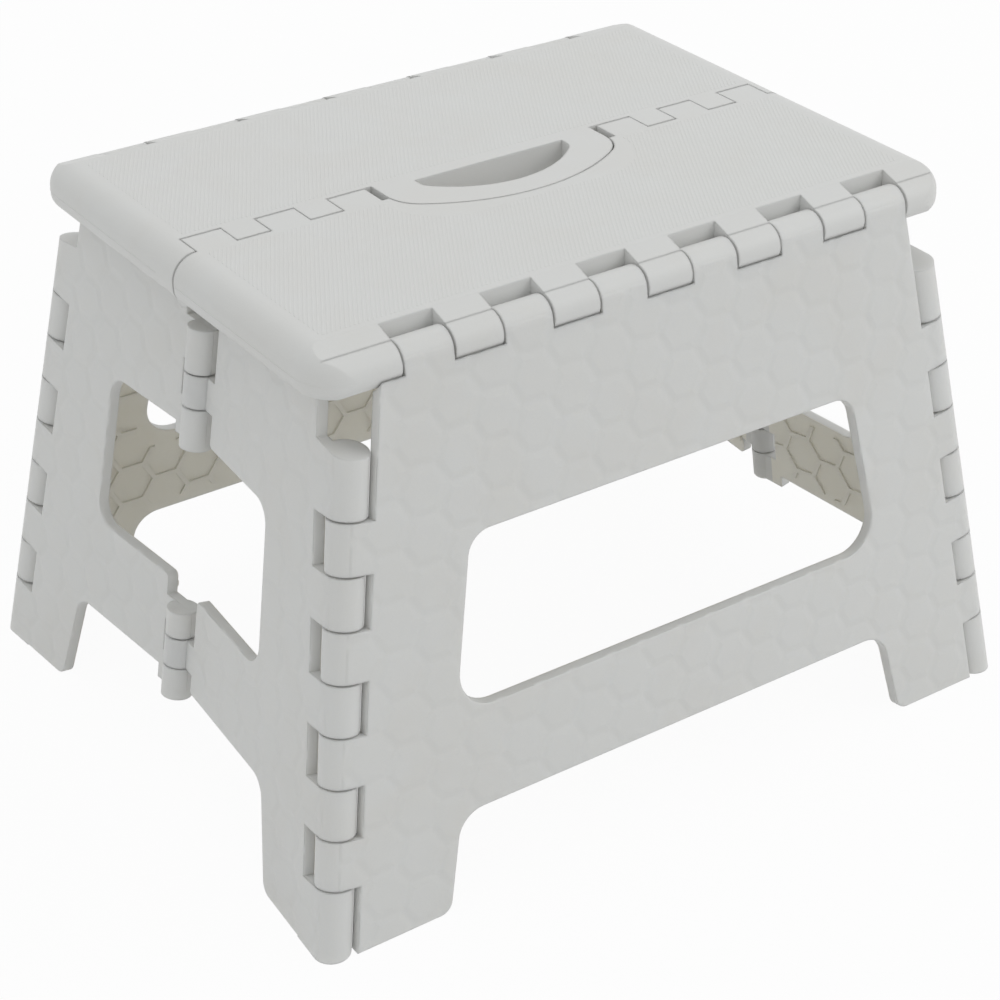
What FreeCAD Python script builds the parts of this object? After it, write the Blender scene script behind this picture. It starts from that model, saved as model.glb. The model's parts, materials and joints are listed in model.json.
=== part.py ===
"""Folding step stool: eight moulded panels on twelve steel pins, unfolded and standing.

World frame: Z up, floor at Z = 0, X along the long side, front side at -Y. Millimetres.
Every panel is modelled flat in its own frame (outer face towards local +Z) and then placed.
"""

import FreeCAD
import Part
import Sketcher
import math
import os

Vector = FreeCAD.Vector
Rotation = FreeCAD.Rotation
Placement = FreeCAD.Placement

DIMENSIONS = {
    # stance: hinge axes of the four corners, and how the sides lean
    "stool_height": 226.0,
    "foot_half_length": 160.0,
    "foot_half_depth": 128.7,
    "end_lean": 9.174,
    "leg_lean": 7.846,
    "end_kink": 4.3,
    "panel_thick": 4.6,
    "edge_round": 0.8,
    # pins and their running fit
    "pin_radius": 1.8,
    "fold_pin_radius": 1.4,
    "pin_play": 0.05,
    # corner hinges between the long panels and the end halves
    "barrel_radius": 7.2,
    "corner_first": 27.7,
    "corner_pitch": 20.17,
    "corner_top": 193.0,
    "corner_slant": 12.0,
    "corner_gap": 0.8,
    "leg_edge_gap": 7.05,
    "end_edge_gap": 10.5,
    # hinge between the tread and the long panels
    "hinge_depth": 10.6,
    "hinge_offset": 4.7,
    "hinge_pitch": 41.34,
    "leg_knuckle": 20.0,
    "top_knuckle": 19.6,
    "finger_radius": 7.4,
    "finger_room": 0.7,
    # long panel: window, stretcher and feet, measured up the outer face from the floor
    "window_top": 148.6,
    "window_low": 80.2,
    "window_half_top": 88.8,
    "window_half_low": 101.4,
    "window_top_round": 10.0,
    "window_low_round": 14.0,
    "stretcher_low": 38.8,
    "stretcher_half": 103.5,
    "foot_half_gap": 112.0,
    "arch_round": 12.0,
    "foot_round": 6.0,
    # end half: heights above the floor, distances from the corner axis
    "end_top_corner": 205.0,
    "end_top_fold": 196.5,
    "end_window_top": 148.5,
    "end_window_low": 84.0,
    "end_window_near": 47.5,
    "end_window_far": 51.5,
    "end_window_round": 9.0,
    "end_bar_low": 42.6,
    "end_foot_high": 47.0,
    "end_foot_low": 42.8,
    # hinge in the middle of each end
    "fold_radius": 6.2,
    "fold_notch": 11.0,
    "fold_gap": 0.7,
    "loose_bore": 5.1,
    "fold_upper_top": 192.9,
    "fold_upper_high": 174.7,
    "fold_upper_low": 161.0,
    "fold_upper_end": 143.6,
    "fold_lower_top": 75.4,
    "fold_lower_high": 63.7,
    "fold_lower_low": 50.6,
    "fold_lower_end": 36.3,
    # tread
    "top_half_length": 143.0,
    "top_corner": 16.0,
    "top_nose": 10.0,
    "top_under_round": 5.5,
    "border_inset": 8.4,
    "border_fall": 18.0,
    "pocket_inset": 7.8,
    "seam_drop": 7.6,
    "seam_reach": 5.76,
    "seam_slot": 0.9,
    "seam_first": 62.6,
    "seam_pitch": 30.9,
    "seam_finger": 16.3,
    "seam_side_gap": 0.4,
    "seam_radius": 5.4,
    # handle
    "handle_half": 51.0,
    "handle_reach": 30.5,
    "handle_bow": 80.0,
    "handle_corner": 16.0,
    "handle_gap": 0.6,
    "hole_half": 34.5,
    "hole_back": 2.0,
    "hole_front": 19.0,
    "hole_bow": 46.0,
    "hole_corner": 6.0,
    "hole_round": 2.5,
}

FRONT, REAR, LEFT, RIGHT = -1, 1, -1, 1

doc = FreeCAD.newDocument("folding_step_stool")
sheet = doc.addObject("Spreadsheet::Sheet", "dims")


def write_cells(values, first_row):
    """Put the values in column B of the sheet, each under its own alias."""
    for row, (alias, number) in enumerate(values.items(), first_row):
        sheet.set(f"A{row}", alias)
        sheet.set(f"B{row}", repr(number))
        sheet.setAlias(f"B{row}", alias)
    doc.recompute()


def dim(alias):
    """Read one number back from the sheet."""
    return float(sheet.get(alias))


def value(expression):
    """Work out an expression on the sheet's aliases."""
    return float(sheet.evalExpression(expression))


write_cells(DIMENSIONS, 1)


# Frames of the panels, worked out from the stance

LEG_SLOPE = math.tan(math.radians(dim("leg_lean")))
END_SLOPE = math.tan(math.radians(dim("end_lean")))
HINGE_Z = dim("stool_height") - dim("hinge_depth")
HINGE_Y = dim("foot_half_depth") - HINGE_Z * LEG_SLOPE
SEAM_Z = HINGE_Z - dim("seam_drop")


def corner_point(side, face, height):
    """Point of a corner hinge axis at a height above the floor."""
    x = dim("foot_half_length") - height * END_SLOPE
    y = dim("foot_half_depth") - height * LEG_SLOPE
    return Vector(side * x, face * y, height)


def leg_placement(face):
    """Frame of a long panel: origin on its top hinge axis, Y up the panel, Z outwards."""
    turn = Rotation(Vector(0, 0, 1), 0 if face == FRONT else 180)
    lean = Rotation(Vector(1, 0, 0), 90 - dim("leg_lean"))
    return Placement(Vector(0, face * HINGE_Y, HINGE_Z), turn * lean)


def end_placement(side, face):
    """Frame of an end half: origin where its corner axis meets the floor, Y up that axis."""
    foot = corner_point(side, face, 0)
    up = (corner_point(side, face, 100) - foot).normalize()
    kink = math.radians(dim("end_kink"))
    inwards = Vector(-side * math.sin(kink), -face * math.cos(kink), 0)
    normal = up.cross(inwards).normalize()
    if normal.x * side < 0:
        normal = normal * -1
    return Placement(foot, Rotation(up.cross(normal), up, normal, "ZXY"))


def fold_hand(side, face):
    """Sign of local X that points from the corner to the fold of an end half."""
    return 1 if side * face < 0 else -1


def fold_point(side, height):
    """Point of a fold axis: on the outer faces of both end halves, in the plane Y = 0."""
    frame = end_placement(side, FRONT)
    normal = frame.Rotation.multVec(Vector(0, 0, 1))
    face_point = frame.multVec(Vector(0, 0, dim("barrel_radius")))
    x = (normal.dot(face_point) - normal.z * height) / normal.x
    return Vector(x, 0, height)


END_FRAME = end_placement(LEFT, REAR)
END_UP = END_FRAME.Rotation.multVec(Vector(0, 1, 0))
END_ACROSS = END_FRAME.Rotation.multVec(Vector(1, 0, 0))
END_NORMAL = END_FRAME.Rotation.multVec(Vector(0, 0, 1))
FOLD_LOW = END_FRAME.inverse().multVec(fold_point(LEFT, 0))
FOLD_HIGH = END_FRAME.inverse().multVec(fold_point(LEFT, 200))

write_cells({
    "leg_flare": END_SLOPE * math.cos(math.radians(dim("leg_lean"))),
    "leg_corner_x": dim("foot_half_length") - HINGE_Z * END_SLOPE,
    "leg_length": HINGE_Z / math.cos(math.radians(dim("leg_lean"))),
    "leg_drop": HINGE_Z / math.cos(math.radians(dim("leg_lean"))) + dim("barrel_radius") * LEG_SLOPE,
    "end_up_rise": END_UP.z,
    "end_across_rise": END_ACROSS.z,
    "end_face_rise": END_NORMAL.z * dim("barrel_radius"),
    "fold_line_start": FOLD_LOW.x - FOLD_LOW.y * (FOLD_HIGH.x - FOLD_LOW.x) / (FOLD_HIGH.y - FOLD_LOW.y),
    "fold_line_slope": (FOLD_HIGH.x - FOLD_LOW.x) / (FOLD_HIGH.y - FOLD_LOW.y),
}, len(DIMENSIONS) + 2)


# Small builders

def polygon_plate(label, loops, offset, depth):
    """Pad closed loops of (x, y) expressions, drawn on the XY plane, into a plate."""
    body = doc.addObject("PartDesign::Body", label + "_plate")
    sketch = body.newObject("Sketcher::SketchObject", label + "_outline")
    plane = [item for item in body.Origin.OriginFeatures if item.Role == "XY_Plane"][0]
    sketch.AttachmentSupport = (plane, [""])
    sketch.MapMode = "FlatFace"
    sketch.setExpression("AttachmentOffset.Base.z", offset)
    for loop in loops:
        first = sketch.GeometryCount
        count = len(loop)
        corners = [Vector(value(x), value(y), 0) for x, y in loop]
        for index in range(count):
            sketch.addGeometry(Part.LineSegment(corners[index], corners[(index + 1) % count]), False)
        for index in range(count):
            following = first + (index + 1) % count
            sketch.addConstraint(Sketcher.Constraint("Coincident", first + index, 2, following, 1))
        for index, (x, y) in enumerate(loop):
            for kind, expression, number in (("DistanceX", x, corners[index].x),
                                             ("DistanceY", y, corners[index].y)):
                place = Sketcher.Constraint(kind, -1, 1, first + index, 1, number)
                datum = sketch.addConstraint(place)
                sketch.setExpression(f"Constraints[{datum}]", expression)
    doc.recompute()
    pad = body.newObject("PartDesign::Pad", label + "_pad")
    pad.Profile = sketch
    pad.setExpression("Length", depth)
    body.Tip = pad
    doc.recompute()
    return body


def round_edges(body, wanted, radius):
    """Fillet the edges of the body's tip that the test picks out."""
    base = body.Tip
    names = [f"Edge{number}" for number, edge in enumerate(base.Shape.Edges, 1) if wanted(edge)]
    fillet = body.newObject("PartDesign::Fillet", body.Name + "_round")
    fillet.Base = (base, names)
    fillet.setExpression("Radius", radius)
    body.Tip = fillet
    doc.recompute()


def upright_at(spots):
    """Test for edges along local Z that stand on one of the (x, y) expression pairs."""
    places = [(value(x), value(y)) for x, y in spots]

    def wanted(edge):
        start, end = edge.Vertexes[0].Point, edge.Vertexes[-1].Point
        if math.hypot(start.x - end.x, start.y - end.y) > 1e-4:
            return False
        return any(math.hypot(start.x - x, start.y - y) < 1e-3 for x, y in places)
    return wanted


def box(label, length, width, height, placement):
    item = doc.addObject("Part::Box", label)
    item.setExpression("Length", length)
    item.setExpression("Width", width)
    item.setExpression("Height", height)
    item.Placement = placement
    return item


def rod(label, radius, start, direction, length):
    """Cylinder of given radius and length expressions along a direction."""
    item = doc.addObject("Part::Cylinder", label)
    item.setExpression("Radius", radius)
    item.setExpression("Height", length)
    item.Placement = Placement(start, Rotation(Vector(0, 0, 1), direction))
    return item


def fuse(label, items):
    item = doc.addObject("Part::MultiFuse", label)
    item.Shapes = items
    item.Refine = True
    return item


def cut(label, base, tool):
    item = doc.addObject("Part::Cut", label)
    item.Base = base
    item.Tool = tool
    item.Refine = True
    return item


def common(label, items):
    item = doc.addObject("Part::MultiCommon", label)
    item.Shapes = items
    item.Refine = True
    return item


def below_floor(label, frame):
    """Block that takes away everything under the floor, in the frame of a panel."""
    world = Placement(Vector(-400, -400, -60), Rotation())
    return box(label, "800", "800", "60", frame.inverse() * world)


def knuckle(label, start, up, inwards, length, radius, reach):
    """Barrel on an axis in the XY plane of a panel, and the web that ties it to the plate.

    The web lies on the given side of the axis and fills the plate's thickness.
    """
    barrel = rod(label + "_barrel", radius, start, up, length)
    turn = Rotation(inwards, up, inwards.cross(up), "ZXY")
    low = Vector(start.x, start.y, dim("barrel_radius") - dim("panel_thick"))
    if inwards.cross(up).z < 0:
        low.z = dim("barrel_radius")
    web = box(label + "_web", reach, length, "dims.panel_thick", Placement(low, turn))
    return [barrel, web]


# Long panels, front and rear: one moulding

def leg_height(alias):
    """Local Y of a height measured up the outer face from the floor."""
    return f"dims.{alias} - dims.leg_drop"


def leg_edge(sign, y):
    """Local X of the plate's slanted edge at a local Y."""
    return f"{sign} * (dims.leg_corner_x - dims.leg_edge_gap - dims.leg_flare * ({y}))"


def make_leg(label, face):
    bottom = "-dims.leg_drop"
    top = "0 - dims.finger_radius / 2"
    outline = []
    arch = []
    feet = []
    for sign in (1, -1):
        side = [(leg_edge(sign, top), top),
                (leg_edge(sign, bottom), bottom),
                (f"{sign} * dims.foot_half_gap", bottom),
                (f"{sign} * dims.stretcher_half", leg_height("stretcher_low"))]
        feet.append(side[2])
        arch.append(side[3])
        outline += side if sign == 1 else side[::-1]
    window_top = [(f"{sign} * dims.window_half_top", leg_height("window_top")) for sign in (-1, 1)]
    window_low = [(f"{sign} * dims.window_half_low", leg_height("window_low")) for sign in (1, -1)]
    plate = polygon_plate(label, [outline, window_top + window_low],
                          "dims.barrel_radius - dims.panel_thick", "dims.panel_thick")
    round_edges(plate, upright_at(window_top), "dims.window_top_round")
    round_edges(plate, upright_at(window_low), "dims.window_low_round")
    round_edges(plate, upright_at(arch), "dims.arch_round")
    round_edges(plate, upright_at(feet), "dims.foot_round")

    face_z = dim("barrel_radius")
    top_y = value(top)

    def outer_edge(edge):
        points = [vertex.Point for vertex in edge.Vertexes]
        on_face = all(abs(point.z - face_z) < 1e-4 for point in points)
        return on_face and not all(abs(point.y - top_y) < 1e-4 for point in points)
    round_edges(plate, outer_edge, "dims.edge_round")

    along = Vector(1, 0, 0)
    room = rod(label + "_finger_room", "dims.finger_radius + dims.finger_room",
               Vector(-200, 0, 0), along, "400")
    pieces = [cut(label + "_notched", plate, room)]
    for index in range(6):
        middle = dim("hinge_offset") + (index - 2.5) * dim("hinge_pitch")
        start = Vector(middle - dim("leg_knuckle") / 2, 0, 0)
        pieces += knuckle(f"{label}_top{index}", start, along, Vector(0, -1, 0),
                          "dims.leg_knuckle", "dims.barrel_radius", "dims.barrel_radius + 4")

    bores = [rod(label + "_top_bore", "dims.pin_radius + dims.pin_play",
                 Vector(-200, 0, 0), along, "400")]
    lean = math.atan(dim("leg_flare"))
    for sign in (LEFT, RIGHT):
        up = Vector(-sign * math.sin(lean), math.cos(lean), 0)
        inwards = Vector(-sign * math.cos(lean), -math.sin(lean), 0)
        foot_x = dim("leg_corner_x") + dim("leg_flare") * dim("leg_length")
        foot = Vector(sign * foot_x, -dim("leg_length"), 0)
        for index in range(4):
            low = dim("corner_first") + 2 * index * dim("corner_pitch") + dim("corner_gap") / 2
            pieces += knuckle(f"{label}_corner{index}", foot + up * low, up, inwards,
                              "dims.corner_pitch - dims.corner_gap", "dims.barrel_radius",
                              "dims.leg_edge_gap + 3")
        bores.append(rod(label + "_corner_bore", "dims.pin_radius + dims.pin_play",
                         foot, up, "dims.corner_top"))

    frame = leg_placement(face)
    solid = fuse(label + "_solid", pieces)
    waste = fuse(label + "_waste", bores + [below_floor(label + "_floor", frame)])
    panel = cut(label, solid, waste)
    panel.Placement = frame
    return panel


# End halves: two mouldings, mirror images apart from the knuckles of the fold

def end_height(across, height):
    """Local Y where the outer face has the given height above the floor."""
    return f"({height} - dims.end_face_rise - dims.end_across_rise * ({across})) / dims.end_up_rise"


def fold_edge(y):
    """Distance from the corner axis to the plate's edge along the fold, at a local Y."""
    return f"(dims.fold_line_start + dims.fold_line_slope * ({y}) - dims.fold_notch)"


def fold_corner(height):
    """Corner of the plate on its fold edge at a height above the floor."""
    across = fold_edge(end_height("dims.fold_line_start", height))
    return across, end_height(across, height)


def make_end(label, side, face, outer_knuckles):
    hand = fold_hand(side, face)
    gap = "dims.end_edge_gap"
    foot, bar_foot = "dims.end_foot_low", "dims.end_foot_high"
    low_side, top_side = "dims.end_window_far", "dims.end_window_near"
    corners = [(gap, end_height(gap, "0")),
               (foot, end_height(foot, "0")),
               (bar_foot, end_height(bar_foot, "dims.end_bar_low")),
               fold_corner("dims.end_bar_low"),
               fold_corner("dims.end_window_low"),
               (low_side, end_height(low_side, "dims.end_window_low")),
               (top_side, end_height(top_side, "dims.end_window_top")),
               fold_corner("dims.end_window_top"),
               fold_corner("dims.end_top_fold"),
               (gap, end_height(gap, "dims.end_top_corner"))]
    signed = [(f"{hand} * ({x})", y) for x, y in corners]
    plate = polygon_plate(label, [signed], "dims.barrel_radius - dims.panel_thick", "dims.panel_thick")
    round_edges(plate, upright_at([signed[2], signed[5], signed[6]]), "dims.end_window_round")
    round_edges(plate, upright_at([signed[1]]), "dims.foot_round")
    round_edges(plate, upright_at([signed[number] for number in (3, 4, 7, 8, 9)]),
                "dims.end_window_round / 4")

    face_z = dim("barrel_radius")

    def outer_edge(edge):
        return all(abs(vertex.Point.z - face_z) < 1e-4 for vertex in edge.Vertexes)
    round_edges(plate, outer_edge, "dims.edge_round")

    frame = end_placement(side, face)
    up = Vector(0, 1, 0)
    pieces = [plate]
    half_gap = dim("corner_gap") / 2
    for index in range(5):
        low = dim("corner_first") + (2 * index - 1) * dim("corner_pitch") + half_gap
        length = "dims.corner_pitch - dims.corner_gap"
        if index == 0:
            low = -10
            length = "dims.corner_first - dims.corner_gap / 2 + 10"
        if index == 4:
            length = f"dims.corner_top - {low} + 6"
        parts = knuckle(f"{label}_corner{index}", Vector(0, low, 0), up, Vector(hand, 0, 0),
                        length, "dims.barrel_radius", "dims.end_edge_gap + 3")
        if index == 4:
            slant = Rotation(Vector(0, 0, 1), hand * dim("corner_slant"))
            start = Vector(0, dim("corner_top"), 0) + slant.multVec(Vector(-40, 0, -20))
            above = box(label + "_above", "80", "30", "40", Placement(start, slant))
            parts = [cut(label + "_top_knuckle", fuse(label + "_top_barrel", parts), above)]
        pieces += parts

    into_frame = frame.inverse()
    bores = [rod(label + "_corner_bore", "dims.pin_radius + dims.pin_play",
                 Vector(0, -20, 0), up, "dims.corner_top + 20 - 6")]
    for group in ("upper", "lower"):
        names = [f"fold_{group}_{part}" for part in ("top", "high", "low", "end")]
        spans = [(names[0], names[1]), (names[2], names[3])] if outer_knuckles else [(names[1], names[2])]
        for top, low in spans:
            low_point = into_frame.multVec(fold_point(side, dim(low)))
            top_point = into_frame.multVec(fold_point(side, dim(top)))
            axis = (top_point - low_point).normalize()
            stretch = (top_point - low_point).Length / (dim(top) - dim(low))
            inwards = Vector(-axis.y, axis.x, 0)
            if inwards.x * hand > 0:
                inwards = inwards * -1
            pieces += knuckle(f"{label}_{low}", low_point + axis * (dim("fold_gap") / 2), axis, inwards,
                              f"(dims.{top} - dims.{low}) * {stretch} - dims.fold_gap",
                              "dims.fold_radius", "dims.fold_notch + 3")
        end_point = into_frame.multVec(fold_point(side, dim(names[3]) - 4))
        pin_room = "dims.fold_pin_radius + dims.pin_play" if outer_knuckles else "dims.loose_bore"
        bores.append(rod(f"{label}_{group}_bore", pin_room, end_point, axis,
                         f"(dims.{names[0]} - dims.{names[3]}) * {stretch}"))

    solid = fuse(label + "_solid", pieces)
    waste = fuse(label + "_waste", bores + [below_floor(label + "_floor", frame)])
    panel = cut(label, solid, waste)
    panel.Placement = frame
    return panel


# Tread halves, modelled on the front side; the rear one is turned half round

def block(label, x_low, x_high, y_low, y_high, z_low, z_high):
    """Box between limits that are expressions on the sheet."""
    corner = Vector(value(x_low), value(y_low), value(z_low))
    return box(label, f"({x_high}) - ({x_low})", f"({y_high}) - ({y_low})",
               f"({z_high}) - ({z_low})", Placement(corner, Rotation()))


TREAD = "dims.stool_height"
AXIS_Z = "dims.stool_height - dims.hinge_depth"
UNDER = "dims.stool_height - dims.hinge_depth - dims.finger_radius"
SEAM = "dims.stool_height - dims.hinge_depth - dims.seam_drop"


def half_disc(label, half, back, front, bow, extra):
    """Upright D-shaped block: straight back, sides at half width, bowed front."""
    trim = block(label + "_trim", f"-({half}) - {extra}", f"{half} + {extra}", f"{back}",
                 f"{front} + {extra}", f"{UNDER} - 10", f"{TREAD} + 10")
    centre = Vector(0, value(f"{front} - ({bow})"), value(UNDER) - 10)
    disc = rod(label + "_disc", f"{bow} + {extra}", centre, Vector(0, 0, 1), f"{TREAD} - ({UNDER}) + 20")
    return common(label, [trim, disc])


def soften(label, base, wanted, radius):
    """Part fillet on the edges of a finished object that the test picks out."""
    doc.recompute()
    item = doc.addObject("Part::Fillet", label)
    item.Base = base
    item.Edges = [(number, radius, radius) for number, edge in enumerate(base.Shape.Edges, 1) if wanted(edge)]
    doc.recompute()
    return item


def front_upright(edge):
    """Upright edges at the bowed front of a D-shaped block."""
    start, end = edge.Vertexes[0].Point, edge.Vertexes[-1].Point
    return math.hypot(start.x - end.x, start.y - end.y) < 1e-4 and start.y > 0


def seam_spans(with_handle):
    """X ranges on the right side: gaps cut between the seam fingers, and the fingers' knuckles."""
    length = "dims.top_half_length"
    side = "dims.seam_finger / 2"
    room = f"({side} + dims.seam_side_gap)"
    middles = [f"(dims.seam_first + {index} * dims.seam_pitch)" for index in range(3)]
    if with_handle:
        gaps = [("0", f"{middles[0]} + {room}")]
        gaps += [(f"{middle} - {room}", f"{middle} + {room}") for middle in middles[1:]]
        knuckles = [(gaps[0][1], gaps[1][0]), (gaps[1][1], gaps[2][0]), (gaps[2][1], f"{gaps[2][1]} + 4")]
    else:
        knuckles = [(f"{middle} - {side}", f"{middle} + {side}") for middle in middles]
        gaps = [("0", knuckles[0][0]), (knuckles[0][1], knuckles[1][0]),
                (knuckles[1][1], knuckles[2][0]), (knuckles[2][1], f"{length} + 5")]
    return gaps, knuckles


def on_side(span, sign):
    """Mirror an X range to the left side."""
    low, high = span
    return (low, high) if sign == RIGHT else (f"-({high})", f"-({low})")


def make_top(label, face, with_handle):
    length = "dims.top_half_length"
    front = f"{HINGE_Y} + dims.finger_radius"
    reach = "dims.seam_reach"
    inner = "(0 - dims.seam_reach - dims.seam_slot)"
    shell = polygon_plate(label, [[(f"-{length}", f"-({front})"), (length, f"-({front})"),
                                   (length, reach), (f"-{length}", reach)]],
                          UNDER, f"{TREAD} - ({UNDER})")
    round_edges(shell, upright_at([(f"-{length}", f"-({front})"), (length, f"-({front})")]),
                "dims.top_corner")
    reach_y = value(reach)

    def rim(height):
        def wanted(edge):
            points = [vertex.Point for vertex in edge.Vertexes]
            level = all(abs(point.z - value(height)) < 1e-4 for point in points)
            return level and not all(abs(point.y - reach_y) < 1e-4 for point in points)
        return wanted
    round_edges(shell, rim(TREAD), "dims.top_nose")
    round_edges(shell, rim(UNDER), "dims.top_under_round")

    along = Vector(1, 0, 0)
    slab = block(label + "_slab", f"-{length}", length, f"-{HINGE_Y}", reach, UNDER, TREAD)
    fall = Rotation(along, dim("border_fall"))
    border_start = Vector(-200, -(HINGE_Y - dim("border_inset")), dim("stool_height"))
    outwards = fall.multVec(Vector(0, -1, 0))
    border = box(label + "_border", "400", "60", "40", Placement(border_start + outwards * 60, fall))
    barrel = rod(label + "_nose", "dims.finger_radius", Vector(-200, -HINGE_Y, HINGE_Z), along, "400")
    profile = fuse(label + "_profile", [cut(label + "_sloped", slab, border), barrel])

    gaps, knuckles = seam_spans(with_handle)
    between = []
    seams = []
    bores = []
    first = f"dims.handle_half {'- 9' if with_handle else '+ 1'}"
    last = "dims.seam_first + 2 * dims.seam_pitch + dims.seam_finger / 2 + 3"
    for sign in (LEFT, RIGHT):
        for index, span in enumerate(gaps):
            between.append(block(f"{label}_gap{index}", *on_side(span, sign), inner, f"{reach} + 1",
                                 f"{UNDER} - 5", f"{TREAD} + 5"))
        for index, span in enumerate(knuckles):
            low, high = on_side(span, sign)
            seams.append(rod(f"{label}_seam{index}", "dims.seam_radius", Vector(value(low), 0, SEAM_Z),
                             along, f"({high}) - ({low})"))
        low, high = on_side((first, last), sign)
        bores.append(rod(f"{label}_seam_bore", "dims.pin_radius + dims.pin_play",
                         Vector(value(low), 0, SEAM_Z), along, f"({high}) - ({low})"))
    for index in range(6):
        middle = f"dims.hinge_offset + {index - 2.5} * dims.hinge_pitch"
        half = "(dims.hinge_pitch - dims.top_knuckle) / 2"
        between.append(block(f"{label}_pocket{index}", f"{middle} - {half}", f"{middle} + {half}",
                             f"-{HINGE_Y} - 20", f"-{HINGE_Y} + dims.pocket_inset",
                             f"{UNDER} - 5", f"{TREAD} + 5"))
    form = common(label + "_form", [shell, profile])
    pieces = [cut(label + "_fingered", form, fuse(label + "_between", between))] + seams
    bores.append(rod(label + "_hinge_bore", "dims.pin_radius + dims.pin_play",
                     Vector(-dim("top_half_length") + 14, -HINGE_Y, HINGE_Z), along,
                     "2 * dims.top_half_length - 28"))

    if with_handle:
        tongue = half_disc(label + "_tongue", "dims.handle_half", f"{inner} - 4",
                           "dims.handle_reach", "dims.handle_bow", "0")
        tongue = soften(label + "_tongue_round", tongue, front_upright, dim("handle_corner"))
        layer = block(label + "_layer", "-200", "200", "-100", "100", UNDER, TREAD)
        pieces.append(common(label + "_handle", [tongue, layer]))
        for sign in (LEFT, RIGHT):
            low, high = on_side(("dims.handle_half - 8", "dims.handle_half"), sign)
            pieces.append(rod(f"{label}_handle_seam", "dims.seam_radius", Vector(value(low), 0, SEAM_Z),
                              along, f"({high}) - ({low})"))
        hole = half_disc(label + "_hole", "dims.hole_half", "0 - dims.hole_back",
                         "dims.hole_front", "dims.hole_bow", "0")
        opening = soften(label + "_hole_round", hole, front_upright, dim("hole_corner"))
    else:
        notch = half_disc(label + "_notch", "dims.handle_half", "0 - 1",
                          "dims.handle_reach", "dims.handle_bow", "dims.handle_gap")
        opening = soften(label + "_notch_round", notch, front_upright, dim("handle_corner"))
        opening.Placement = Placement(Vector(), Rotation(Vector(0, 0, 1), 180))

    solid = fuse(label + "_solid", pieces)
    half = cut(label, solid, fuse(label + "_waste", bores + [opening]))
    if face == REAR:
        half.Placement = Placement(Vector(), Rotation(Vector(0, 0, 1), 180))
    return half


# Pins

def make_pin(label, radius, start, end):
    pin = rod(label, f"dims.{radius}", start, end - start, f"{(end - start).Length}")
    return pin


def make_pins():
    pins = []
    reach = dim("top_half_length") - 15
    for name, face in (("front", FRONT), ("rear", REAR)):
        pins.append(make_pin(f"{name}_top_pin", "pin_radius", Vector(-reach, face * HINGE_Y, HINGE_Z),
                             Vector(reach, face * HINGE_Y, HINGE_Z)))
        for end_name, side in (("left", LEFT), ("right", RIGHT)):
            foot = corner_point(side, face, 0)
            up = (corner_point(side, face, 100) - foot).normalize()
            pins.append(make_pin(f"{name}_{end_name}_corner_pin", "pin_radius", foot + up * 6,
                                 foot + up * (dim("corner_top") - 8)))
    seam_first = dim("handle_half") - 7
    seam_last = value("dims.seam_first + 2 * dims.seam_pitch + dims.seam_finger / 2 + 2")
    for end_name, side in (("left", LEFT), ("right", RIGHT)):
        pins.append(make_pin(f"{end_name}_seam_pin", "pin_radius", Vector(side * seam_first, 0, SEAM_Z),
                             Vector(side * seam_last, 0, SEAM_Z)))
        for group in ("upper", "lower"):
            pins.append(make_pin(f"{end_name}_{group}_fold_pin", "fold_pin_radius",
                                 fold_point(side, dim(f"fold_{group}_end") + 1),
                                 fold_point(side, dim(f"fold_{group}_top") - 5)))
    return pins


def check(item):
    """Stop when an object has failed or its shape is not one sound solid."""
    shape = item.Shape
    if "Invalid" in item.State or "Error" in item.State or shape.isNull() or not shape.isValid():
        raise RuntimeError(f"{item.Label} is not sound: {item.State}")
    if len(shape.Solids) != 1:
        raise RuntimeError(f"{item.Label} has {len(shape.Solids)} solids")


def main():
    nodes = [make_top("front_top", FRONT, False),
             make_top("rear_top", REAR, True),
             make_leg("front_leg", FRONT),
             make_leg("rear_leg", REAR),
             make_end("left_front_end", LEFT, FRONT, False),
             make_end("left_rear_end", LEFT, REAR, True),
             make_end("right_front_end", RIGHT, FRONT, True),
             make_end("right_rear_end", RIGHT, REAR, False)]
    nodes += make_pins()
    doc.recompute()
    os.makedirs("parts", exist_ok=True)
    for node in nodes:
        check(node)
        node.Shape.exportStep(f"parts/{node.Label}.step")


main()
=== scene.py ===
"""Looks of a folding step stool: skins, stiffening cells, tread ribs, parting beads, studio.

The eight mouldings and twelve pins come with the frame and keep their shapes. This script gives
them their finishes and adds the fine relief of the panels and the tread.
"""

import json
import math

import bmesh
import bpy
from bpy.props import FloatProperty, FloatVectorProperty, IntProperty, PointerProperty
from bpy.types import Operator, Panel, PropertyGroup
from mathutils import Matrix, Vector


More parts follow.
